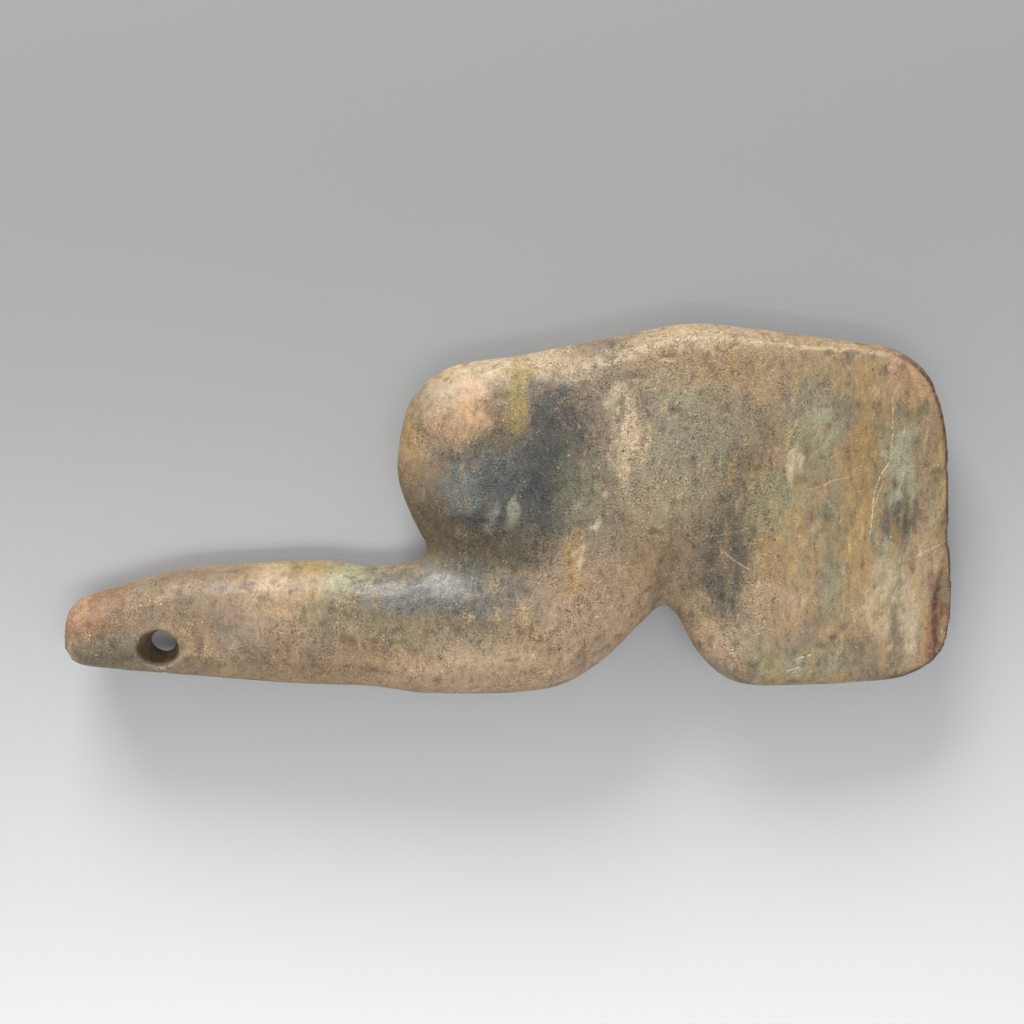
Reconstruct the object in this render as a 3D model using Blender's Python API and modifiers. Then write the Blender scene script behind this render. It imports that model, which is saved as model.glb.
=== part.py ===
"""Monolithic stone axe: handle, heel and blade carved from one stone, lying on its back.

Units are metres. The handle points to -X and the cutting edge to +X. The heel and the hump of the
head point to +Y, the elbow under them to -Y, and +Z is up. The origin is on the table, under the
middle of the axe's box.

The stone is two sheets, front and back, that meet along the axe's outline. The outline is a smooth
closed curve, and each point inside it stands off the middle plane by half the thickness that the
stone has there. The cord hole, the worn flat on the back and the flake scar are cut out of that.
"""

import math

import bmesh
import bpy
import numpy as np
from mathutils import Matrix, Vector
from mathutils.geometry import delaunay_2d_cdt

# Outline sizes
GRIP_LENGTH = 0.1228  # end of the handle to the notch in front of the heel
GRIP_HEIGHT = 0.0402  # measure across the handle
HEAD_LENGTH = 0.1776  # notch to the cutting edge
HEAD_HEIGHT = 0.1264  # elbow to the top of the hump

# Thickness from face to face
TIP_THICKNESS = 0.0260
GRIP_THICKNESS = 0.0320
NECK_THICKNESS = 0.0375
HEAD_THICKNESS = 0.0410
BLADE_THICKNESS = 0.0280
EDGE_THICKNESS = 0.0040

# How far in from the outline the stone rounds over
TIP_ROUNDING = 0.0100
GRIP_ROUNDING = 0.0180
HEEL_ROUNDING = 0.0190
ELBOW_ROUNDING = 0.0165
HUMP_ROUNDING = 0.0040
GAP_ROUNDING = 0.0085
BLADE_TOP_ROUNDING = 0.0030
BLADE_UNDERSIDE_ROUNDING = 0.0060
EDGE_ROUNDING = 0.0022
RIM_SQUARENESS = 2.4  # 2 rounds over as an ellipse, and more is squarer

# The share of the thickness by which the faces bulge, and how far in they reach it
NECK_BULGE = 0.10
HEEL_BULGE = 0.40
HEAD_BULGE = 0.45
BLADE_BULGE = 0.48
EDGE_BULGE = 0.30
BULGE_REACH = 0.0420

# Valleys that run in from the outline on both faces: the share of the thickness that they take
# where they start, and how far they reach to their left and right
NOTCH_VALLEY_SHARE = 0.43
NOTCH_VALLEY_LEFT = 0.0205
NOTCH_VALLEY_RIGHT = 0.0130
GAP_VALLEY_SHARE = 0.34
GAP_VALLEY_LEFT = 0.0085
GAP_VALLEY_RIGHT = 0.0170

# The worn flat on the back, which the axe lies on
REST_FLAT_DEPTH = 0.0016

# The cord hole through the handle, drilled from both faces
HOLE_THROAT_RADIUS = 0.0040
HOLE_THROAT_LENGTH = 0.0030
HOLE_MOUTH_RADIUS = 0.0066
HOLE_MOUTH_DISTANCE = 0.0120  # from the middle plane

# The shallow flake scar on the front, at the low end of the cutting edge
SCAR_LENGTH = 0.0360
SCAR_WIDTH = 0.0100
SCAR_DEPTH = 0.0016
SCAR_HOLLOW = 0.0140  # half the thickness of the ball that is cut out
SCAR_TILT = math.radians(28)

# Outline points, clockwise from the handle's low corner. A grip point is a share of the grip's
# length and height. A head point is a share of the head's, from the notch and from the elbow.
HANDLE_END = ((0.042, 0.266), (0.004, 0.364), (0.000, 0.475), (0.012, 0.705), (0.044, 0.810))
HANDLE_TOP = (
    (0.119, 0.888), (0.218, 0.985), (0.341, 1.070), (0.519, 1.115), (0.725, 1.137), (0.832, 1.092),
    (0.925, 1.108), (0.977, 1.160),
)
NOTCH = ((0.000, 0.394),)
HEEL = ((-0.026, 0.478), (-0.053, 0.587), (-0.051, 0.674), (-0.033, 0.781), (0.001, 0.848))
HUMP = (
    (0.056, 0.890), (0.179, 0.917), (0.330, 0.959), (0.501, 1.000), (0.615, 0.986), (0.747, 0.962),
    (0.858, 0.941), (0.899, 0.917), (0.941, 0.866),
)
CUTTING_EDGE = (
    (0.963, 0.800), (0.980, 0.700), (0.990, 0.472), (1.000, 0.282), (0.995, 0.150), (0.973, 0.092),
)
BLADE_UNDERSIDE = (
    (0.911, 0.043), (0.823, 0.029), (0.709, 0.022), (0.605, 0.026), (0.557, 0.054), (0.512, 0.121),
    (0.474, 0.218),
)
GAP = ((0.450, 0.243),)
ELBOW = (
    (0.416, 0.206), (0.349, 0.109), (0.274, 0.034), (0.217, 0.010), (0.141, 0.000), (0.046, 0.001),
)
HANDLE_UNDERSIDE = ((0.963, 0.020), (0.862, 0.069), (0.656, 0.095), (0.327, 0.168), (0.136, 0.223))

# Where the cord hole is, as a grip point, and the valleys' ends and the scar, as head points
HOLE_SPOT = (0.273, 0.450)
NOTCH_VALLEY_END = (0.260, 0.312)
GAP_VALLEY_END = (0.492, 0.520)
SCAR_SPOT = (0.978, 0.222)

# Mesh density
OUTLINE_STEP = 0.0042
ROW_DEPTHS = (0.0008, 0.0028, 0.0062, 0.0106)
GRID_STEP = 0.0058
VALLEY_STEP = 0.0032
HOLE_SIDES = 28
SCAR_SIDES = 24
CUT_MARGIN = 0.0100  # how far a cutter reaches past the stone

STONE_COLOUR = (0.300, 0.240, 0.165, 1.0)


def grip_points(shares):
    return [np.array((along * GRIP_LENGTH, across * GRIP_HEIGHT)) for along, across in shares]


def head_points(shares):
    return [np.array((GRIP_LENGTH + along * HEAD_LENGTH, up * HEAD_HEIGHT)) for along, up in shares]


def spline_point(before, start, end, after, share):
    """A point between start and end on a centripetal Catmull-Rom spline."""
    first, middle, last = (
        math.sqrt(np.linalg.norm(b - a)) for a, b in ((before, start), (start, end), (end, after))
    )
    leave = end - start + middle * ((start - before) / first - (end - before) / (first + middle))
    arrive = end - start + middle * ((after - end) / last - (after - start) / (middle + last))
    blend = 3 * share**2 - 2 * share**3
    return (
        (1 - blend) * start
        + blend * end
        + (share**3 - 2 * share**2 + share) * leave
        + (share**3 - share**2) * arrive
    )


def closed_curve(points):
    """Close steps along a smooth closed curve through all the points."""
    curve = []
    for i, start in enumerate(points):
        before = points[i - 1]
        end = points[(i + 1) % len(points)]
        after = points[(i + 2) % len(points)]
        steps = math.ceil(np.linalg.norm(end - start) / OUTLINE_STEP)
        curve += [spline_point(before, start, end, after, step / steps) for step in range(steps)]
    return np.array(curve)


def depths(points, outline):
    """The distance from each point to the outline."""
    spans = np.roll(outline, -1, axis=0) - outline
    offsets = points[:, None] - outline
    shares = np.clip((offsets * spans).sum(axis=2) / (spans**2).sum(axis=1), 0, 1)
    return np.linalg.norm(offsets - shares[..., None] * spans, axis=2).min(axis=1)


def are_inside(points, outline):
    """Whether each point is inside: a line from it to +X crosses the outline an odd number of times."""
    ends = np.roll(outline, -1, axis=0)
    y = points[:, 1, None]
    spanned = (outline[:, 1] > y) != (ends[:, 1] > y)
    rise = np.where(ends[:, 1] == outline[:, 1], 1, ends[:, 1] - outline[:, 1])
    crossing = outline[:, 0] + (y - outline[:, 1]) * (ends[:, 0] - outline[:, 0]) / rise
    return (spanned & (points[:, 0, None] < crossing)).sum(axis=1) % 2 == 1


def row_inside(outline, depth):
    """Points at one depth all round the outline."""
    along = np.roll(outline, -1, axis=0) - np.roll(outline, 1, axis=0)
    inward = np.column_stack((along[:, 1], -along[:, 0]))
    inward /= np.linalg.norm(inward, axis=1)[:, None]
    points = outline + depth * inward
    return points[are_inside(points, outline) & (depths(points, outline) > 0.97 * depth)]


def valley_rows(start, end):
    """Points along a valley's bottom and along both its sides."""
    run = end - start
    length = np.linalg.norm(run)
    across = np.array((-run[1], run[0])) / length
    return np.array([
        start + run * step * VALLEY_STEP / length + across * side * VALLEY_STEP
        for step in range(1, int(length / VALLEY_STEP) + 1)
        for side in (0, -1, 1, -2, 2)
    ])


def grid_inside(outline, depth):
    """A grid of equal triangles over the part of the outline that is deeper than depth."""
    low = outline.min(axis=0)
    high = outline.max(axis=0)
    row_height = GRID_STEP * math.sqrt(0.75)
    grid = []
    for row in range(math.ceil((high[1] - low[1]) / row_height)):
        for column in range(math.ceil((high[0] - low[0]) / GRID_STEP)):
            grid.append((low[0] + (column + row % 2 / 2) * GRID_STEP, low[1] + row * row_height))
    grid = np.array(grid)
    return grid[are_inside(grid, outline) & (depths(grid, outline) > depth)]


def without_crowding(groups):
    """All the groups' points, less those too near to one that came before."""
    kept = []
    for points, spacing in groups:
        for point in points:
            if not kept or np.linalg.norm(np.array(kept) - point, axis=1).min() > spacing:
                kept.append(point)
    return np.array(kept)


def along_axe(along, tip, grip, neck, heel, head, blade, edge):
    """A size that changes along the axe, blended over a short stretch at each place it is set."""
    places = (
        0,
        0.45 * GRIP_LENGTH,
        GRIP_LENGTH,
        GRIP_LENGTH + 0.15 * HEAD_LENGTH,
        GRIP_LENGTH + 0.42 * HEAD_LENGTH,
        GRIP_LENGTH + 0.76 * HEAD_LENGTH,
        GRIP_LENGTH + HEAD_LENGTH,
    )
    sizes = (tip, grip, neck, heel, head, blade, edge)
    blend = 0.03 * HEAD_LENGTH
    return sum(np.interp(along + shift * blend, places, sizes) for shift in (-1, 0, 1)) / 3


def rounded(shares):
    """The height over a rounded edge, from 0 at the edge to 1 where the rounding ends."""
    return (1 - (1 - np.minimum(shares, 1)) ** RIM_SQUARENESS) ** (1 / RIM_SQUARENESS)


def valley(points, start, end, left, right):
    """1 where a valley starts, fading to 0 at its end and up its soft banks left and right."""
    run = end - start
    offsets = points - start
    shares = np.clip(offsets @ run / (run @ run), 0, 1)
    aside = np.linalg.norm(offsets - shares[:, None] * run, axis=1)
    is_left = run[0] * offsets[:, 1] > run[1] * offsets[:, 0]
    bank = np.minimum(aside / np.where(is_left, left, right), 1)
    return (1 - shares) * (1 - bank**2) ** 2


def half_thickness(points, outline):
    """How far the stone's surface stands off the middle plane at each point."""
    along, up = points.T
    full = along_axe(
        along, TIP_THICKNESS, GRIP_THICKNESS, NECK_THICKNESS, HEAD_THICKNESS, HEAD_THICKNESS,
        BLADE_THICKNESS, EDGE_THICKNESS,
    )
    upper_rounding = along_axe(
        along, TIP_ROUNDING, GRIP_ROUNDING, GRIP_ROUNDING, HEEL_ROUNDING, HUMP_ROUNDING,
        BLADE_TOP_ROUNDING, EDGE_ROUNDING,
    )
    lower_rounding = along_axe(
        along, TIP_ROUNDING, GRIP_ROUNDING, GRIP_ROUNDING, ELBOW_ROUNDING, GAP_ROUNDING,
        BLADE_UNDERSIDE_ROUNDING, EDGE_ROUNDING,
    )
    bulge = along_axe(along, 0, 0, NECK_BULGE, HEEL_BULGE, HEAD_BULGE, BLADE_BULGE, EDGE_BULGE)
    upper = np.clip(2 * up / HEAD_HEIGHT - 0.5, 0, 1)
    rounding = lower_rounding + (upper_rounding - lower_rounding) * upper
    depth = depths(points, outline)
    dome = 1 - (1 - np.minimum(depth / BULGE_REACH, 1)) ** 2
    notch, notch_end = head_points((*NOTCH, NOTCH_VALLEY_END))
    gap, gap_end = head_points((*GAP, GAP_VALLEY_END))
    notch_valley = valley(points, notch, notch_end, NOTCH_VALLEY_LEFT, NOTCH_VALLEY_RIGHT)
    gap_valley = valley(points, gap, gap_end, GAP_VALLEY_LEFT, GAP_VALLEY_RIGHT)
    carved = NOTCH_VALLEY_SHARE * notch_valley + GAP_VALLEY_SHARE * gap_valley
    height = full / 2 * ((1 - bulge) * rounded(depth / rounding) + bulge * dome)
    return np.where(depth < 1e-6, 0, height * (1 - carved))


def new_object(name, shape, collection):
    mesh = bpy.data.meshes.new(name)
    shape.to_mesh(mesh)
    shape.free()
    made = bpy.data.objects.new(name, mesh)
    collection.objects.link(made)
    return made


def stone_shape(outline):
    """The front and back sheets, either side of the middle plane."""
    groups = [(row_inside(outline, depth), 0.45 * OUTLINE_STEP) for depth in ROW_DEPTHS]
    for start, end in (head_points((*NOTCH, NOTCH_VALLEY_END)), head_points((*GAP, GAP_VALLEY_END))):
        groups.append((valley_rows(start, end), 0.7 * VALLEY_STEP))
    groups.append((grid_inside(outline, ROW_DEPTHS[-1] + 0.6 * GRID_STEP), 0.7 * GRID_STEP))
    points = np.vstack((outline, without_crowding(groups)))
    rim = [(i, (i + 1) % len(outline)) for i in range(len(outline))]
    corners, _, triangles, *_ = delaunay_2d_cdt([Vector(point) for point in points], rim, [], 1, 1e-7)
    corners = np.array(corners)
    heights = half_thickness(corners, outline)
    shape = bmesh.new()
    for side in (1, -1):
        sheet = [
            shape.verts.new((x, y, side * height))
            for (x, y), height in zip(corners, heights)
        ]
        for triangle in triangles:
            shape.faces.new([sheet[i] for i in triangle])
    bmesh.ops.remove_doubles(shape, verts=shape.verts, dist=1e-6)
    bmesh.ops.recalc_face_normals(shape, faces=shape.faces)
    return shape


def hole_profile():
    """Half the section of the drilled hole: two cones that meet in a short throat."""
    throat = HOLE_THROAT_LENGTH / 2
    flare = (HOLE_MOUTH_RADIUS - HOLE_THROAT_RADIUS) / (HOLE_MOUTH_DISTANCE - throat)
    top = GRIP_THICKNESS / 2 + CUT_MARGIN
    top_radius = HOLE_THROAT_RADIUS + flare * (top - throat)
    profile = (
        (0, top), (top_radius, top), (HOLE_THROAT_RADIUS, throat),
        (HOLE_THROAT_RADIUS, -throat), (top_radius, -top), (0, -top),
    )
    shape = bmesh.new()
    verts = [shape.verts.new((radius, 0, height)) for radius, height in profile]
    for upper, lower in zip(verts, verts[1:]):
        shape.edges.new((upper, lower))
    return shape


def scar_ball():
    """An ellipsoid that, sunk SCAR_DEPTH into a flat surface, leaves a scar of the stated size."""
    share = math.sqrt(1 - (1 - SCAR_DEPTH / SCAR_HOLLOW) ** 2)
    size = (SCAR_WIDTH / 2 / share, SCAR_LENGTH / 2 / share, SCAR_HOLLOW)
    stretch = Matrix.Diagonal((*size, 1))
    shape = bmesh.new()
    bmesh.ops.create_uvsphere(
        shape, u_segments=SCAR_SIDES, v_segments=SCAR_SIDES // 2, radius=1, matrix=stretch
    )
    return shape


def cut(stone, cutter):
    cutter.hide_render = True
    cutter.display_type = "WIRE"
    boolean = stone.modifiers.new(cutter.name, "BOOLEAN")
    boolean.operation = "DIFFERENCE"
    boolean.solver = "EXACT"
    boolean.object = cutter


def stone_material():
    material = bpy.data.materials.new("Polished stone")
    material.use_nodes = True
    shader = material.node_tree.nodes["Principled BSDF"]
    shader.inputs["Base Color"].default_value = STONE_COLOUR
    shader.inputs["Roughness"].default_value = 0.5
    shader.inputs["Metallic"].default_value = 0.0
    return material


def new_collection(name):
    collection = bpy.data.collections.new(name)
    bpy.context.scene.collection.children.link(collection)
    return collection


def build():
    for old in list(bpy.data.objects):
        bpy.data.objects.remove(old)
    parts = new_collection("Monolithic stone axe")
    cutters = new_collection("Cutters")

    outline = closed_curve(
        grip_points(HANDLE_END + HANDLE_TOP)
        + head_points(NOTCH + HEEL + HUMP + CUTTING_EDGE + BLADE_UNDERSIDE + GAP + ELBOW)
        + grip_points(HANDLE_UNDERSIDE)
    )
    stone = new_object("stone_axe", stone_shape(outline), parts)
    stone.data.materials.append(stone_material())
    stone.data.shade_smooth()
    stone.data.set_sharp_from_angle(angle=math.radians(40))
    back = min(vertex.co.z for vertex in stone.data.vertices)

    slab = bmesh.new()
    slab_size = (4 * GRIP_LENGTH + 4 * HEAD_LENGTH, 4 * HEAD_HEIGHT, CUT_MARGIN)
    bmesh.ops.create_cube(slab, size=1, matrix=Matrix.Diagonal((*slab_size, 1)))
    flat_cutter = new_object("Rest flat cutter", slab, cutters)
    flat_cutter.location.z = back + REST_FLAT_DEPTH - CUT_MARGIN / 2
    cut(stone, flat_cutter)

    hole_cutter = new_object("Cord hole cutter", hole_profile(), cutters)
    screw = hole_cutter.modifiers.new("Turn", "SCREW")
    screw.steps = HOLE_SIDES
    screw.render_steps = HOLE_SIDES
    screw.use_merge_vertices = True
    screw.merge_threshold = 0.00001
    hole_cutter.location = (*grip_points((HOLE_SPOT,))[0], 0)
    cut(stone, hole_cutter)

    scar_spot = head_points((SCAR_SPOT,))[0]
    front = half_thickness(np.array([scar_spot]), outline)[0]
    scar_cutter = new_object("Flake scar cutter", scar_ball(), cutters)
    scar_cutter.rotation_euler = (0, SCAR_TILT, 0)
    outwards = Vector((math.sin(SCAR_TILT), 0, math.cos(SCAR_TILT)))
    scar_cutter.location = Vector((*scar_spot, front)) + (SCAR_HOLLOW - SCAR_DEPTH) * outwards
    cut(stone, scar_cutter)

    # The cut stone's own box sets where the origin is
    graph = bpy.context.evaluated_depsgraph_get()
    corners = np.array([corner for corner in stone.evaluated_get(graph).bound_box])
    low = corners.min(axis=0)
    high = corners.max(axis=0)
    place = bpy.data.objects.new("Axe place", None)
    parts.objects.link(place)
    for piece in (stone, *cutters.objects):
        piece.parent = place
    place.location = (-(low[0] + high[0]) / 2, -(low[1] + high[1]) / 2, -low[2])


build()
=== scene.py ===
"""Looks of the monolithic stone axe: worn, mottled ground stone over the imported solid, in studio light.

The frame is in metres. The relief and the stone's colours are worked out in millimetres of that frame,
so every size among them reads as a real one.
"""

import math

import bmesh
import bpy
import numpy as np
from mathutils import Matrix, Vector


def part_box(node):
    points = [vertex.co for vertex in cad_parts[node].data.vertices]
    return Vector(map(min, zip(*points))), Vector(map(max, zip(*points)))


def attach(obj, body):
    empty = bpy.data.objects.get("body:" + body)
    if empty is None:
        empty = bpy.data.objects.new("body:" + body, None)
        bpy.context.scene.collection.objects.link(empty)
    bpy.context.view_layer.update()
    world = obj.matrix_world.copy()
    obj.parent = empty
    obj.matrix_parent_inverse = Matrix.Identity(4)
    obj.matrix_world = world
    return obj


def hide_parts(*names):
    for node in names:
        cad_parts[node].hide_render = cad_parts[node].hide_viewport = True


# Camera, looking down on the lying axe from the heel's side of its front face
CAMERA_TARGET = Vector((0.0015, 0.0, 0.021))
CAMERA_DISTANCE = 0.809
CAMERA_TILT = math.radians(12)
CAMERA_LENS = 85.0

# Fine surface: size of its faces, rounds of smoothing, and each round's two pulls
VOXEL = 0.00098
SMOOTHING_ROUNDS = 14
SMOOTHING_PULLS = (0.5, -0.52)

# Relief, all of it sunk into the stone: size of its waves and most depth, in millimetres
HOLLOWS = (26.0, 0.26)
DIMPLES = (9.0, 0.09)
PECKING = (2.6, 0.13)
PITS = (3.4, 0.36)
EDGE_CHIPS = (3.8, 0.55)

# Size of the patches where the pecking and the pits are deeper, in millimetres
ROUGH_PATCHES = 22.0

# Chips set in between these distances along the axe, and fade out towards the edge's low end between
# these distances across it. From the corner's start the cutting edge bends back, ever more steeply.
CHIPS_ALONG = (144.5, 149.5)
CHIPS_FADE = (-30, -8)
CORNER_START = 15
CORNER_BEND = 0.075
CORNER_POWER = 1.25

# The front's stains set in between these heights above the table, which waver, in millimetres
FRONT_HEIGHTS = (9.0, 21.0)
FRONT_WAVER = 14.0

# Colours of the stone
TAN = (0.345, 0.236, 0.127)
WARM_GREY = (0.215, 0.168, 0.116)
SLATE = (0.050, 0.051, 0.047)
BLUE_GREY = (0.092, 0.098, 0.093)
TEAL = (0.190, 0.208, 0.180)
GREEN_GREY = (0.254, 0.244, 0.138)
PALE_GREEN = (0.380, 0.365, 0.235)
OLIVE = (0.140, 0.114, 0.063)
OCHRE = (0.385, 0.250, 0.102)
MUSTARD = (0.290, 0.212, 0.072)
PEACH = (0.560, 0.335, 0.180)
CREAM = (0.560, 0.430, 0.270)
CHALK = (0.720, 0.600, 0.430)
PINK = (0.420, 0.284, 0.178)
BROWN = (0.200, 0.130, 0.074)
RED_BROWN = (0.235, 0.112, 0.056)
RUST = (0.105, 0.038, 0.022)
# Dark earth in the pits and specks, and painted shade in the cord hole
DIRT_AND_SHADE = (0.075, 0.055, 0.038)

# Tints that a colour is multiplied by
DARK_GRAIN = (0.34, 0.32, 0.31)
PALE_GRAIN = (1.85, 1.85, 1.9)
DARK_CLOUD = (0.46, 0.42, 0.38)
PALE_CLOUD = (1.5, 1.5, 1.5)

# Spots: how far one reaches from its middle, as a share of its size, then, as shares of the way in,
# where its border starts and ends and up to where its fraying grows
SPOT_REACH = 0.8
SPOT_BORDER = (0.12, 0.70)
SPOT_FRAYED = 0.45

# How much streaks and grain fray the border of a stain
STREAK_FRAYING = 3.2
GRAIN_FRAYING = 1.8

# Stains on the front, with some painted shade and painted highlights among them: what it is, colour,
# middle, width and height in millimetres, turn, strength
STAINS_AND_PAINTED_LIGHT = (
    ("grey over the head's middle", WARM_GREY, (54, 32), (64, 50), 0, 0.50),
    ("tan middle", TAN, (48, -2), (38, 50), 0, 0.75),
    ("pink on the elbow's leg", PINK, (31, -31), (34, 54), -35, 0.82),
    # Pale elbow: partly the stone's pale pink, partly painted light thrown up from the floor onto the
    # elbow's lower edge
    ("pale elbow", PINK, (-4, -53), (84, 18), 0, 0.90),
    ("tan under the hump", TAN, (84, 50), (100, 18), 0, 0.70),
    # Pale hump rim: painted highlight where the hump's top rim faces the light, with some pale wear
    ("pale hump rim", CREAM, (66, 61), (52, 7), 0, 0.50),
    ("brown heel side", BROWN, (-22, 18), (14, 26), 0, 0.50),
    ("tan heel edge", OCHRE, (-33, 26), (7, 34), 4, 0.75),
    ("olive heel edge", OLIVE, (-29, 35), (6, 20), -20, 0.55),
    ("brown heel edge", BROWN, (-32, 12), (8, 22), 0, 0.60),
    ("olive heel side", OLIVE, (-23, 1), (16, 34), 15, 0.76),
    ("grey round the core", WARM_GREY, (8, 14), (66, 66), 0, 0.80),
    ("blue grey round the core", BLUE_GREY, (3, 13), (48, 42), -20, 0.90),
    ("dark core", SLATE, (14, 25), (20, 52), 4, 0.80),
    ("dark core's foot", SLATE, (7, 2), (34, 26), -20, 0.60),
    ("olive over the core", OLIVE, (-5, 32), (24, 12), 15, 0.80),
    # Pale heel crest and top: partly pale stone, partly painted highlight where the heel turns up to the
    # light
    ("pale heel crest", CREAM, (-6, 53), (56, 12), 6, 0.62),
    ("pale heel top", CREAM, (-16, 42), (30, 18), 8, 0.34),
    ("peach spot", PEACH, (-12, 38), (13, 16), 20, 0.62),
    ("peach under the spot", PEACH, (-18, 32), (12, 10), 20, 0.45),
    ("brown beside the peach spot", BROWN, (-3, 39), (10, 14), 0, 0.70),
    ("mustard streak", MUSTARD, (4, 41), (7, 20), 10, 0.88),
    ("teal patch", TEAL, (-15, 13), (12, 17), 0, 0.58),
    ("grey in the core", BLUE_GREY, (-1, 15), (14, 12), 0, 0.50),
    ("pale fleck in the core", TEAL, (-5, 2), (3, 13), 8, 0.85),
    ("green fleck in the core", PALE_GREEN, (1, 3), (4, 11), -8, 0.65),
    # The waist's olive and dark grey: partly the stone's own colour, partly painted shade where the heel
    # turns down into the valley above the neck
    ("olive waist", OLIVE, (-8, -11), (46, 18), -12, 0.85),
    ("dark waist", SLATE, (-6, -10), (34, 12), -12, 0.28),
    ("green veil beside the streak", PALE_GREEN, (54, 24), (40, 48), 0, 0.42),
    ("cream streak", CREAM, (39, 29), (12, 20), -8, 0.92),
    ("cream streak's head", CREAM, (39, 43), (8, 7), 20, 0.60),
    ("fleck left of the head", CREAM, (32, 40), (6, 4), 20, 0.50),
    ("cream streak's foot", CREAM, (39, 17), (3, 13), -6, 0.70),
    ("cream fleck beside the streak", CREAM, (50, 38), (4, 8), 0, 0.55),
    ("pale fleck", CHALK, (28, -2), (3, 6), 40, 0.90),
    ("pale fleck over it", CREAM, (32, 10), (3, 6), -50, 0.70),
    ("green under the streak", GREEN_GREY, (25, 8), (18, 34), 0, 0.42),
    ("ochre waist streak", OCHRE, (22, -18), (8, 26), 0, 0.75),
    ("cream in the waist streak", CREAM, (23, -14), (3, 12), 5, 0.60),
    ("olive round the blade root", OLIVE, (75, -6), (24, 60), 4, 0.55),
    ("dark blade root", SLATE, (73, -16), (18, 38), 4, 0.62),
    ("mustard fleck over the blade root", MUSTARD, (73, 17), (5, 5), 45, 0.60),
    ("green upper blade", GREEN_GREY, (101, 30), (20, 34), 0, 0.70),
    ("pale green upper blade", PALE_GREEN, (104, 32), (9, 13), 0, 0.60),
    ("green middle blade", GREEN_GREY, (90, 6), (20, 22), 0, 0.75),
    ("green low blade", GREEN_GREY, (108, -12), (12, 44), 4, 0.80),
    ("olive low blade", OLIVE, (108, -7), (9, 28), 4, 0.70),
    ("ochre blade streak", OCHRE, (92, -13), (22, 34), 6, 0.75),
    ("pink under the streak", PINK, (88, -28), (17, 14), 0, 0.65),
    ("long ochre band", OCHRE, (118, 14), (14, 88), 3, 0.90),
    ("pale blade spot", CREAM, (94, 17), (4, 15), 8, 0.80),
    ("green right", GREEN_GREY, (131, 16), (13, 34), 0, 0.80),
    ("pale green right", PALE_GREEN, (131, 16), (12, 26), 0, 0.96),
    ("dark right", SLATE, (130, -6), (10, 30), 0, 0.78),
    ("green beside the dark", PALE_GREEN, (125, -13), (7, 18), -12, 0.60),
    ("tan right", TAN, (141, 8), (10, 62), 0, 0.80),
    ("orange right edge", OCHRE, (146, 10), (6, 50), 0, 0.60),
    ("tan corner", TAN, (136, 42), (28, 26), -30, 0.92),
    ("orange corner", PEACH, (134, 46), (26, 20), 30, 0.72),
    ("olive fleck right", OLIVE, (133, 32), (8, 4), 0, 0.60),
    ("cream low right", CREAM, (125, -30), (9, 34), -6, 0.65),
    ("cream lower right", CREAM, (134, -33), (9, 36), -10, 0.60),
    ("pink low right", PINK, (139, -16), (14, 24), -14, 0.70),
    ("ochre low right", OCHRE, (138, -30), (4, 30), -14, 0.50),
    ("olive streak low right", OLIVE, (130, -38), (3, 22), -14, 0.55),
    ("pink low blade", PINK, (74, -42), (22, 20), 0, 0.55),
    ("green bottom", GREEN_GREY, (100, -51), (44, 13), 0, 0.75),
    ("pale green bottom", PALE_GREEN, (95, -52), (14, 8), 0, 0.60),
    ("olive bottom", OLIVE, (122, -48), (24, 12), 10, 0.50),
    ("brown round the scar", RED_BROWN, (146, -33), (12, 34), 8, 0.80),
    ("orange over the scar", OCHRE, (149, -22), (8, 14), 0, 0.70),
    ("rust in the scar", RUST, (149, -34), (7, 26), 6, 0.90),
    ("rust in the scar's foot", RUST, (148, -43), (8, 14), 24, 0.88),
    ("mustard grip top", MUSTARD, (-62, -15), (64, 12), 0, 0.90),
    ("pink grip", PINK, (-74, -32), (44, 18), 0, 0.50),
    ("cream grip patch", CREAM, (-81, -26), (16, 13), 0, 0.65),
    ("ochre grip", OCHRE, (-68, -28), (40, 16), 0, 0.55),
    ("olive grip streak", OLIVE, (-72, -24), (4, 12), 0, 0.50),
    ("green grip", GREEN_GREY, (-52, -22), (24, 12), 0, 0.80),
    ("pale green grip", PALE_GREEN, (-55, -21), (12, 6), 0, 0.70),
    # Under the neck: the olive brown is partly the stone's colour, partly painted shade; the dark fold is
    # painted shade in the crease below the neck's ridge
    ("brown under the neck", OLIVE, (-36, -34), (76, 20), 6, 0.76),
    ("dark fold under the neck", SLATE, (-13, -35), (34, 9), -29, 0.34),
    ("pale specks on the elbow", CREAM, (-8, -44), (40, 14), 10, 0.30),
    ("grey neck", BLUE_GREY, (-24, -24), (54, 17), -4, 0.80),
    ("dark neck", SLATE, (-8, -26), (26, 10), -8, 0.50),
    ("brown low grip", BROWN, (-64, -45), (60, 14), 0, 0.60),
    ("brown handle end", BROWN, (-104, -28), (48, 30), 0, 0.66),
    ("brown behind the tip", BROWN, (-130, -30), (30, 24), 0, 0.45),
    ("red brown handle tip", RED_BROWN, (-145, -30), (36, 26), 0, 0.75),
    ("peach flecks on the tip", PEACH, (-144, -29), (7, 14), 0, 0.40),
    ("olive under the tip", OLIVE, (-130, -46), (38, 14), 0, 0.70),
    # Painted shade: the cord hole's bore is darkened where shade falls in it
    ("painted shade in the cord hole", DIRT_AND_SHADE, (-117, -45), (9, 9), 0, 0.85),
)

# Where the front is pecked rough, and where it is polished smooth
ROUGH_SPOTS = (
    ("heel", (12, 18), (70, 80)),
    ("hump", (60, 38), (90, 50)),
    ("under the neck", (-30, -34), (80, 24)),
    ("blade root", (72, -8), (40, 70)),
)
SMOOTH_SPOTS = (
    ("blade", (126, 0), (90, 150)),
    ("heel top", (-14, 42), (40, 24)),
    ("neck", (-30, -22), (46, 12)),
    ("grip", (-78, -26), (50, 20)),
)

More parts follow.
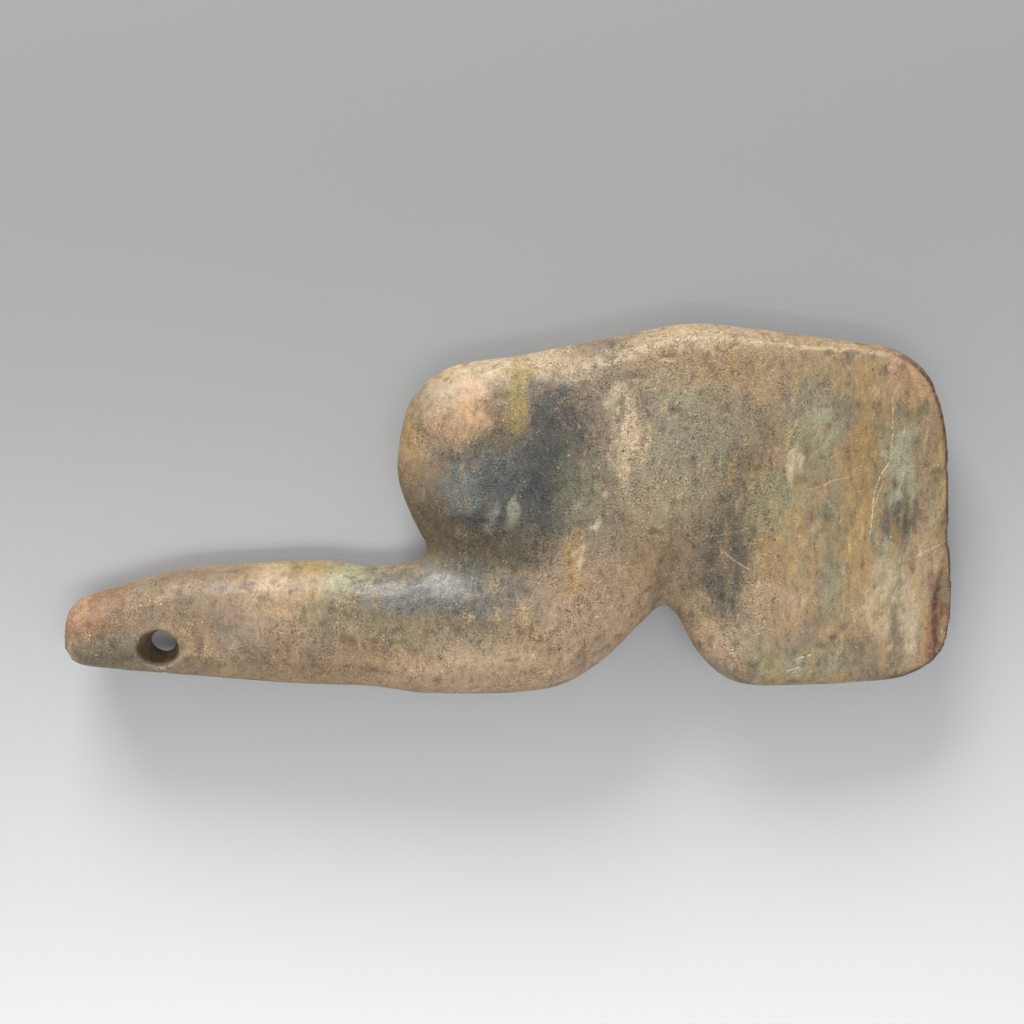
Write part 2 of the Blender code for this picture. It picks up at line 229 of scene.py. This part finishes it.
# Thin pale cracks and scratches on the front: start and end in millimetres, and strength
CRACKS = (
    ((127, 41), (127, 19), 0.75),
    ((127, 20), (122, 10), 0.95),
    ((122, 11), (120, -8), 0.95),
    ((126, 17), (121, 1), 0.55),
    ((98, 10), (116, 15), 0.45),
    ((70, -9), (80, -17), 0.45),
    ((130, -17), (148, -10), 0.45),
    ((66, -5), (80, -2), 0.25),
    ((-3, 52), (28, 44), 0.20),
    ((96, -49), (103, -46), 0.80),
    ((93, -53), (99, -51), 0.60),
)
CRACK_WIDTH = 0.52

# How much a rough or a smooth spot shifts how roughened the stone is there
SPOT_PULL = 0.24

# The beds show in full past these distances along the axe, and by this share before them
BEDS_ALONG = (52.0, 88.0)
BEDS_BEFORE = 0.15

# The pale wear and painted highlight on the head's long rim set in between these distances along and
# across the axe. They follow the crest, where the surface turns from facing up, and end farther down the
# side.
RIM_ALONG = (5.0, 35.0)
RIM_ACROSS = (38.0, 46.0)
CREST_TOP = (0.95, 0.86)
CREST_END = (0.62, 0.76)

# The crust on the cutting edge sets in between these distances, where the surface turns from facing up
CRUST_ALONG = (118.0, 138.0)
CRUST_TURN = (0.95, 0.78)

# Streaks along the stone's beds: shift in the noise, size, colour, border of the noise, strength
BEDS = (
    ((0, 0, 0), 5.0, OCHRE, (0.50, 0.70), 0.60),
    ((90, 0, 0), 4.4, GREEN_GREY, (0.52, 0.72), 0.55),
    ((170, 0, 0), 3.0, OLIVE, (0.54, 0.76), 0.40),
    ((250, 0, 0), 2.6, CREAM, (0.56, 0.80), 0.50),
    ((330, 0, 0), 1.3, BROWN, (0.56, 0.76), 0.40),
)

# Large soft stains on the back, which the picture doesn't show: as for the beds
BACK_STAINS = (
    ((0, 0, 500), 30.0, SLATE, (0.55, 0.70), 0.60),
    ((500, 0, 500), 22.0, OCHRE, (0.54, 0.70), 0.55),
    ((0, 500, 500), 18.0, GREEN_GREY, (0.55, 0.70), 0.50),
)

# Roughness of the polished and of the pecked stone, and how far smears swing it down and up
ROUGHNESS = (0.51, 0.66)
SMEARS = (-0.09, 0.10)

# Where the neck of the handle is worn to a shine: middle and size in millimetres, and the gain
SHINE = ((-24, -24), (54, 18))
SHINE_GAIN = -0.14

# Fine relief in the shading: depth in metres, and strength on polished and on pecked stone
GRAIN_DEPTH = 0.00035
GRAIN_STRENGTH = (0.38, 0.76)

# Studio
FLOOR_COLOUR = (0.400, 0.406, 0.410)
SKY_COLOUR = (0.97, 0.98, 1.0)
SKY_STRENGTH = 0.45


def smooth_step(low, high, values):
    share = np.clip((values - low) / (high - low), 0, 1)
    return share * share * (3 - 2 * share)


def noise(points, size, seed):
    """Smooth random values from -1 to 1, on a lattice with cells of the given size."""
    places = points / size
    cell = np.floor(places).astype(np.int64)
    share = places - cell
    share = share * share * (3 - 2 * share)
    total = np.zeros(len(points))
    for corner in range(8):
        step = np.array((corner & 1, corner >> 1 & 1, corner >> 2))
        x, y, z = (cell + step).T
        key = (x * 73856093 ^ y * 19349663 ^ z * 83492791 ^ seed * 2654435761) & 0xFFFFFFFF
        key = (key ^ key >> 15) * 2246822519 & 0xFFFFFFFF
        key = (key ^ key >> 13) * 3266489917 & 0xFFFFFFFF
        value = (key ^ key >> 16) / 0x7FFFFFFF - 1
        weight = np.prod(np.where(step, share, 1 - share), axis=1)
        total += weight * value
    return total


def evaluated_mesh(thing):
    graph = bpy.context.evaluated_depsgraph_get()
    return bpy.data.meshes.new_from_object(thing.evaluated_get(graph))


def mesh_vectors(mesh, name):
    vectors = np.empty(len(mesh.vertices) * 3)
    mesh.vertices.foreach_get(name, vectors)
    return vectors.reshape(-1, 3)


def relaxed(points, edges, rounds):
    """Smoothing that keeps the volume: each round pulls points together, then pushes them apart."""
    counts = np.bincount(edges.ravel(), minlength=len(points))[:, None]
    for _ in range(rounds):
        for pull in SMOOTHING_PULLS:
            total = np.zeros_like(points)
            for axis in range(3):
                total[:, axis] = np.bincount(
                    edges.ravel(), weights=points[edges[:, ::-1].ravel(), axis], minlength=len(points)
                )
            points = points + pull * (total / counts - points)
    return points


def worn_depth(places):
    """How deep the stone is worn at each place, in millimetres, and how much of that is small pits."""
    hollows = HOLLOWS[1] * (0.5 + 0.5 * noise(places, HOLLOWS[0], 1))
    dimples = DIMPLES[1] * (0.5 + 0.5 * noise(places, DIMPLES[0], 2))
    roughness = smooth_step(-0.5, 0.5, noise(places, ROUGH_PATCHES, 3))
    pecking = PECKING[1] * (0.3 + 0.7 * roughness) * (0.5 + 0.5 * noise(places, PECKING[0], 4))
    pits = smooth_step(0.42, 0.80, noise(places, PITS[0], 5)) * (0.4 + 0.6 * roughness)

    # Chips along the cutting edge, most of them round its upper corner
    x, y, _ = places.T
    bend = CORNER_BEND * np.maximum(y - CORNER_START, 0) ** CORNER_POWER
    to_edge = smooth_step(*CHIPS_ALONG, x + bend) * smooth_step(*CHIPS_FADE, y)
    chips = to_edge * smooth_step(0.10, 0.60, noise(places, EDGE_CHIPS[0], 6))
    return hollows + dimples + pecking + PITS[1] * pits + EDGE_CHIPS[1] * chips, np.maximum(pits, chips)


def fine_axe(solid):
    """A close, even mesh of the solid with its facets smoothed away and its surface worn."""
    closed = bmesh.new()
    closed.from_mesh(solid.data)
    bmesh.ops.remove_doubles(closed, verts=closed.verts, dist=1e-6)
    mesh = bpy.data.meshes.new("stone_axe_surface")
    closed.to_mesh(mesh)
    closed.free()
    axe = bpy.data.objects.new("stone_axe_surface", mesh)
    bpy.context.collection.objects.link(axe)
    remesh = axe.modifiers.new("Even faces", "REMESH")
    remesh.mode = "VOXEL"
    remesh.voxel_size = VOXEL
    axe.data = evaluated_mesh(axe)
    axe.modifiers.clear()

    edges = np.empty(len(axe.data.edges) * 2, dtype=np.int64)
    axe.data.edges.foreach_get("vertices", edges)
    points = relaxed(mesh_vectors(axe.data, "co"), edges.reshape(-1, 2), SMOOTHING_ROUNDS)
    axe.data.vertices.foreach_set("co", points.ravel())
    axe.data.update()

    depth, pits = worn_depth(points * 1000)
    points = points - mesh_vectors(axe.data, "normal") * depth[:, None] / 1000
    low, high = (np.array(corner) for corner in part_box("stone_axe"))
    points = np.clip(points, low, high)
    axe.data.vertices.foreach_set("co", points.ravel())
    axe.data.update()
    axe.data.attributes.new("pits", "FLOAT", "POINT").data.foreach_set("value", pits)
    axe.data.shade_smooth()
    return axe


def node(tree, kind, inputs, **settings):
    """A new shader node. Each input is a plain value or another node's output."""
    made = tree.nodes.new(kind)
    for name, value in settings.items():
        setattr(made, name, value)
    for socket, value in inputs.items():
        if isinstance(value, bpy.types.NodeSocket):
            tree.links.new(value, made.inputs[socket])
        else:
            made.inputs[socket].default_value = value
    return made


def math_node(tree, operation, first, second=0.0, third=0.0):
    return node(tree, "ShaderNodeMath", {0: first, 1: second, 2: third}, operation=operation).outputs[0]


def vector_node(tree, operation, first, second):
    made = node(tree, "ShaderNodeVectorMath", {0: first, 1: second}, operation=operation)
    return made.outputs["Vector"]


def between(tree, value, low, high, at_low=0.0, at_high=1.0):
    """A smooth step from at_low, where the value is low, to at_high, where it is high."""
    inputs = {"Value": value, "From Min": low, "From Max": high, "To Min": at_low, "To Max": at_high}
    return node(tree, "ShaderNodeMapRange", inputs, interpolation_type="SMOOTHSTEP").outputs["Result"]


def noise_node(tree, place, size, detail=2.0, roughness=0.55, output="Fac"):
    """Noise with waves of the given size in millimetres."""
    inputs = {"Vector": place, "Scale": 1 / size, "Detail": detail, "Roughness": roughness}
    return node(tree, "ShaderNodeTexNoise", inputs).outputs[output]


def moved(tree, place, shift):
    """The same place in another part of the noise, so that two noises of one size don't match."""
    return vector_node(tree, "ADD", place, shift)


def stretched(tree, place, scale):
    return vector_node(tree, "MULTIPLY", place, scale)


def warped(tree, place, size, reach):
    """The place, pushed about by up to half of reach, in waves of the given size."""
    push = noise_node(tree, place, size, 1.0, output="Color")
    centred = vector_node(tree, "SUBTRACT", push, (0.5, 0.5, 0.5))
    return vector_node(tree, "ADD", place, vector_node(tree, "MULTIPLY", centred, (reach,) * 3))


def mixed(tree, share, first, second, blend="MIX"):
    inputs = {"Factor": share, "A": first, "B": second}
    made = node(tree, "ShaderNodeMix", {}, data_type="RGBA", blend_type=blend)
    for socket in made.inputs:
        if socket.enabled and socket.name in inputs:
            value = inputs[socket.name]
            if isinstance(value, bpy.types.NodeSocket):
                tree.links.new(value, socket)
            elif socket.name == "Factor":
                socket.default_value = value
            else:
                socket.default_value = (*value, 1)
    return next(socket for socket in made.outputs if socket.enabled)


def spot(tree, place, middle, size, turn, fraying=None):
    """How far a place is inside a turned ellipse, from 0 at its farthest reach to 1 at its middle.

    It can be frayed by a value that swings to both sides of 0. The height doesn't count.
    """
    ball = tree.nodes.new("ShaderNodeTexGradient")
    ball.gradient_type = "SPHERICAL"
    ball.texture_mapping.vector_type = "TEXTURE"
    ball.texture_mapping.mapping_z = "NONE"
    ball.texture_mapping.translation = (*middle, 0)
    ball.texture_mapping.rotation = (0, 0, -math.radians(turn))
    ball.texture_mapping.scale = (SPOT_REACH * size[0], SPOT_REACH * size[1], 1)
    tree.links.new(place, ball.inputs["Vector"])
    inside = ball.outputs["Fac"]
    if fraying:
        border = math_node(tree, "MINIMUM", inside, SPOT_FRAYED)
        inside = math_node(tree, "MULTIPLY_ADD", border, fraying, inside)
    return inside


def ground_colour(tree, place):
    """The stone's own colour, all round: grey and tan clouds with brown and pale ones among them."""
    clouds = noise_node(tree, warped(tree, place, 30.0, 20.0), 24.0, 2.0, 0.6)
    colour = mixed(tree, between(tree, clouds, 0.36, 0.60), WARM_GREY, TAN)
    brown = noise_node(tree, moved(tree, place, (310, 0, 0)), 15.0, 2.0, 0.6)
    colour = mixed(tree, between(tree, brown, 0.52, 0.72, 0.0, 0.55), colour, BROWN)
    pale = noise_node(tree, moved(tree, place, (0, 420, 0)), 11.0, 3.0, 0.65)
    return mixed(tree, between(tree, pale, 0.56, 0.78, 0.0, 0.55), colour, CREAM)


def bedded_colour(tree, place, colour):
    """Streaks across the blade, along the stone's beds."""
    along_x = node(tree, "ShaderNodeSeparateXYZ", {"Vector": place}).outputs["X"]
    on_blade = between(tree, along_x, *BEDS_ALONG, BEDS_BEFORE, 1.0)
    beds = stretched(tree, warped(tree, warped(tree, place, 45.0, 14.0), 3.0, 1.6), (1.0, 0.22, 0.6))
    for shift, size, tint, border, strength in BEDS:
        bed = noise_node(tree, moved(tree, beds, shift), size, 2.0)
        bed = math_node(tree, "MULTIPLY", between(tree, bed, *border, 0.0, strength), on_blade)
        colour = mixed(tree, bed, colour, tint)
    return colour


def back_colour(tree, place, colour):
    """Large soft stains of the same kinds, for the side that the picture doesn't show."""
    for shift, size, tint, border, strength in BACK_STAINS:
        clouds = noise_node(tree, moved(tree, place, shift), size, 2.0)
        colour = mixed(tree, between(tree, clouds, *border, 0.0, strength), colour, tint)
    return colour


def stained_and_painted_light_colour(tree, place, colour):
    """The front's own stains, and the painted shade and highlights among them, each with a ragged, grainy
    border.
    """
    pushed = warped(tree, warped(tree, place, 18.0, 12.0), 5.0, 4.0)
    streaks = noise_node(tree, stretched(tree, pushed, (1.0, 0.5, 1.0)), 4.2, 3.0, 0.65)
    grain = noise_node(tree, place, 0.80, 2.0, 0.7)
    fraying = math_node(tree, "MULTIPLY", grain, GRAIN_FRAYING)
    fraying = math_node(tree, "MULTIPLY_ADD", streaks, STREAK_FRAYING, fraying)
    fraying = math_node(tree, "SUBTRACT", fraying, (STREAK_FRAYING + GRAIN_FRAYING) / 2)
    for _, tint, middle, size, turn, strength in STAINS_AND_PAINTED_LIGHT:
        inside = spot(tree, pushed, middle, size, turn, fraying)
        colour = mixed(tree, between(tree, inside, *SPOT_BORDER, 0.0, strength), colour, tint)
    return colour


def cracked_colour(tree, place, colour):
    """Thin pale cracks and scratches, wavering and broken here and there."""
    wavering = warped(tree, place, 7.0, 2.2)
    broken = between(tree, noise_node(tree, place, 1.2, 2.0, 0.7), 0.36, 0.56)
    for start, end, strength in CRACKS:
        run = Vector(end) - Vector(start)
        middle = (Vector(start) + Vector(end)) / 2
        turn = -math.degrees(math.atan2(run.y, run.x))
        line = spot(tree, wavering, middle, (run.length, CRACK_WIDTH), turn)
        line = math_node(tree, "MULTIPLY", between(tree, line, *SPOT_BORDER, 0.0, strength), broken)
        colour = mixed(tree, line, colour, CHALK)
    return colour


def stippled_colour(tree, place, colour, roughened):
    """Fine dark and pale grains, thickest where the stone is roughened."""
    patches = between(tree, noise_node(tree, place, 6.0, 2.0, 0.7), 0.34, 0.60, 0.35, 1.0)
    thickness = math_node(tree, "MULTIPLY", between(tree, roughened, 0.0, 1.0, 0.45, 1.15), patches)
    darker = between(tree, noise_node(tree, place, 0.60, 2.0, 0.7), 0.34, 0.54, 0.85, 0.0)
    darker = math_node(tree, "MULTIPLY", darker, thickness)
    colour = mixed(tree, darker, colour, DARK_GRAIN, "MULTIPLY")
    grain = noise_node(tree, moved(tree, place, (70, 0, 0)), 0.65, 2.0, 0.7)
    paler = math_node(tree, "MULTIPLY", between(tree, grain, 0.54, 0.72, 0.0, 0.9), thickness)
    colour = mixed(tree, paler, colour, PALE_GRAIN, "MULTIPLY")
    fleck = noise_node(tree, moved(tree, place, (0, 90, 0)), 0.95, 3.0, 0.75)
    clumps = noise_node(tree, place, 8.0, 2.0)
    some = between(tree, clumps, 0.46, 0.64, 0.15, 0.9)
    fleck = math_node(tree, "MULTIPLY", between(tree, fleck, 0.62, 0.70), some)
    colour = mixed(tree, fleck, colour, CHALK)
    specks = node(tree, "ShaderNodeTexVoronoi", {"Vector": place, "Scale": 1 / 3.6, "Randomness": 1.0})
    dark = between(tree, specks.outputs["Distance"], 0.20, 0.08)
    some = between(tree, clumps, 0.50, 0.36, 0.0, 0.7)
    return mixed(tree, math_node(tree, "MULTIPLY", dark, some), colour, DIRT_AND_SHADE)


def how_rough(tree, place, on_front):
    """From 0, where the stone is polished, to 1, where it is pecked rough."""
    pushed = warped(tree, place, 16.0, 12.0)
    rough = noise_node(tree, pushed, 17.0, 2.0)
    for spots, pull in ((ROUGH_SPOTS, SPOT_PULL), (SMOOTH_SPOTS, -SPOT_PULL)):
        for _, middle, size in spots:
            inside = between(tree, spot(tree, pushed, middle, size, 0), *SPOT_BORDER, 0.0, pull)
            rough = math_node(tree, "MULTIPLY_ADD", inside, on_front, rough)
    return between(tree, rough, 0.22, 0.74)


def rim_colour(tree, place, colour):
    """Pale wear and a painted highlight along the crest of the head's long rim, and a dark red crust on
    the cutting edge.
    """
    normal = tree.nodes.new("ShaderNodeNewGeometry").outputs["Normal"]
    facing = node(tree, "ShaderNodeSeparateXYZ", {"Vector": normal}).outputs["Z"]
    facing = math_node(tree, "ABSOLUTE", facing)
    along = node(tree, "ShaderNodeSeparateXYZ", {"Vector": place}).outputs
    broken = between(tree, noise_node(tree, place, 2.4, 2.0, 0.7), 0.36, 0.60)

    on_rim = math_node(
        tree, "MULTIPLY", between(tree, along["X"], *RIM_ALONG), between(tree, along["Y"], *RIM_ACROSS)
    )
    # Painted highlight: the crest, where the surface turns from facing up, is made paler, broken up like
    # pale wear
    crest = math_node(
        tree, "MULTIPLY", between(tree, facing, *CREST_TOP), between(tree, facing, *CREST_END)
    )
    wear_and_highlight = math_node(tree, "MULTIPLY_ADD", broken, 0.60, 0.05)
    wear_and_highlight = math_node(tree, "MULTIPLY", crest, math_node(tree, "MULTIPLY", on_rim, wear_and_highlight))
    colour = mixed(tree, wear_and_highlight, colour, CREAM)

    edge = math_node(
        tree, "MULTIPLY", between(tree, facing, *CRUST_TURN), between(tree, along["X"], *CRUST_ALONG)
    )
    crusted = math_node(tree, "MULTIPLY", edge, math_node(tree, "MULTIPLY_ADD", broken, 0.55, 0.45))
    return mixed(tree, crusted, colour, RUST)


def cloudy_colour(tree, place, colour):
    """Small soft clouds, darker and paler by turns, where the polish lets them show."""
    upright = stretched(tree, moved(tree, place, (0, 0, 800)), (1.0, 0.45, 1.0))
    clouds = noise_node(tree, upright, 2.2, 4.0, 0.75)
    darker = between(tree, clouds, 0.50, 0.28, 0.0, 0.85)
    colour = mixed(tree, darker, colour, DARK_CLOUD, "MULTIPLY")
    paler = between(tree, clouds, 0.52, 0.74, 0.0, 0.85)
    return mixed(tree, paler, colour, PALE_CLOUD, "MULTIPLY")


def stone():
    material = bpy.data.materials.new("Ground stone")
    material.use_nodes = True
    tree = material.node_tree
    shader = tree.nodes["Principled BSDF"]
    given = tree.nodes.new("ShaderNodeTexCoord").outputs["Object"]
    place = vector_node(tree, "MULTIPLY", given, (1000, 1000, 1000))
    height = node(tree, "ShaderNodeSeparateXYZ", {"Vector": place}).outputs["Z"]
    pits = node(tree, "ShaderNodeAttribute", {}, attribute_name="pits").outputs["Fac"]
    waves = math_node(tree, "SUBTRACT", noise_node(tree, place, 11.0, 2.0, 0.6), 0.5)
    height = math_node(tree, "MULTIPLY_ADD", waves, FRONT_WAVER, height)
    on_front = between(tree, height, *FRONT_HEIGHTS)
    roughened = how_rough(tree, place, on_front)
    ground = ground_colour(tree, place)
    colour = mixed(
        tree, on_front, back_colour(tree, place, ground), stained_and_painted_light_colour(tree, place, ground)
    )
    colour = cloudy_colour(tree, place, bedded_colour(tree, place, colour))
    colour = rim_colour(tree, place, colour)
    colour = stippled_colour(tree, place, colour, roughened)
    colour = mixed(tree, on_front, colour, cracked_colour(tree, place, colour))
    colour = mixed(tree, math_node(tree, "MULTIPLY", pits, 0.55), colour, DIRT_AND_SHADE)
    tree.links.new(colour, shader.inputs["Base Color"])

    rough = between(tree, roughened, 0.0, 1.0, *ROUGHNESS)
    smears = noise_node(tree, place, 1.6, 2.0, 0.7)
    rough = math_node(tree, "ADD", rough, between(tree, smears, 0.3, 0.7, *SMEARS))
    shine = between(tree, spot(tree, place, *SHINE, 0), *SPOT_BORDER, 0.0, SHINE_GAIN)
    rough = math_node(tree, "MULTIPLY_ADD", shine, on_front, rough)
    tree.links.new(rough, shader.inputs["Roughness"])

    grain = noise_node(tree, place, 0.62, 2.0, 0.7)
    coarse = noise_node(tree, place, 1.7, 2.0, 0.6)
    relief = math_node(tree, "MULTIPLY_ADD", coarse, 0.8, grain)
    strength = between(tree, roughened, 0.0, 1.0, *GRAIN_STRENGTH)
    bump = node(
        tree, "ShaderNodeBump", {"Height": relief, "Strength": strength, "Distance": GRAIN_DEPTH}
    )
    tree.links.new(bump.outputs["Normal"], shader.inputs["Normal"])
    return material


def add_camera():
    camera = bpy.data.objects.new("Camera", bpy.data.cameras.new("Camera"))
    bpy.context.collection.objects.link(camera)
    camera.data.lens = CAMERA_LENS
    camera.data.clip_start = 0.01
    camera.rotation_euler = (-CAMERA_TILT, 0, 0)
    backwards = Vector((0, math.sin(CAMERA_TILT), math.cos(CAMERA_TILT)))
    camera.location = CAMERA_TARGET + CAMERA_DISTANCE * backwards
    bpy.context.scene.camera = camera


def add_light(name, place, aim, size, power, spread=180):
    light = bpy.data.lights.new(name, "AREA")
    light.shape = "RECTANGLE"
    light.size, light.size_y = size
    light.energy = power
    light.spread = math.radians(spread)
    lamp = bpy.data.objects.new(name, light)
    bpy.context.collection.objects.link(lamp)
    lamp.location = place
    lamp.rotation_euler = (Vector(aim) - Vector(place)).to_track_quat("-Z", "Y").to_euler()


def add_studio():
    bpy.ops.mesh.primitive_plane_add(size=6)
    floor = bpy.context.object
    floor.name = "Floor"
    material = bpy.data.materials.new("Pale paper")
    material.use_nodes = True
    shader = material.node_tree.nodes["Principled BSDF"]
    shader.inputs["Base Color"].default_value = (*FLOOR_COLOUR, 1)
    shader.inputs["Roughness"].default_value = 0.9
    floor.data.materials.append(material)

    world = bpy.data.worlds.new("Studio")
    world.use_nodes = True
    background = world.node_tree.nodes["Background"]
    background.inputs["Color"].default_value = (*SKY_COLOUR, 1)
    background.inputs["Strength"].default_value = SKY_STRENGTH
    bpy.context.scene.world = world
    bpy.context.scene.view_settings.view_transform = "Standard"

    add_light("Key softbox", (-0.60, 2.40, 1.05), aim=(0, 0, 0.02), size=(1.5, 0.8), power=95)
    add_light(
        "Floor softbox", (0, -0.12, 0.62), aim=(0, -0.40, 0), size=(1.2, 0.2), power=3.7, spread=84
    )


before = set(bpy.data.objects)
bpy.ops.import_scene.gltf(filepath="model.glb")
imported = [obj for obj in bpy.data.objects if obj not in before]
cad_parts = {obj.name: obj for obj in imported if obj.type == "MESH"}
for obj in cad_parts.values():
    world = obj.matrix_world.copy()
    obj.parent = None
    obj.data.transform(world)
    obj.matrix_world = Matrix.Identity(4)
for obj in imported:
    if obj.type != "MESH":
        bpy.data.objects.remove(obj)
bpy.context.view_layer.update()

add_camera()
add_studio()

axe = fine_axe(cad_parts["stone_axe"])
axe.data.materials.clear()
axe.data.materials.append(stone())
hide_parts("stone_axe")
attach(axe, "root")
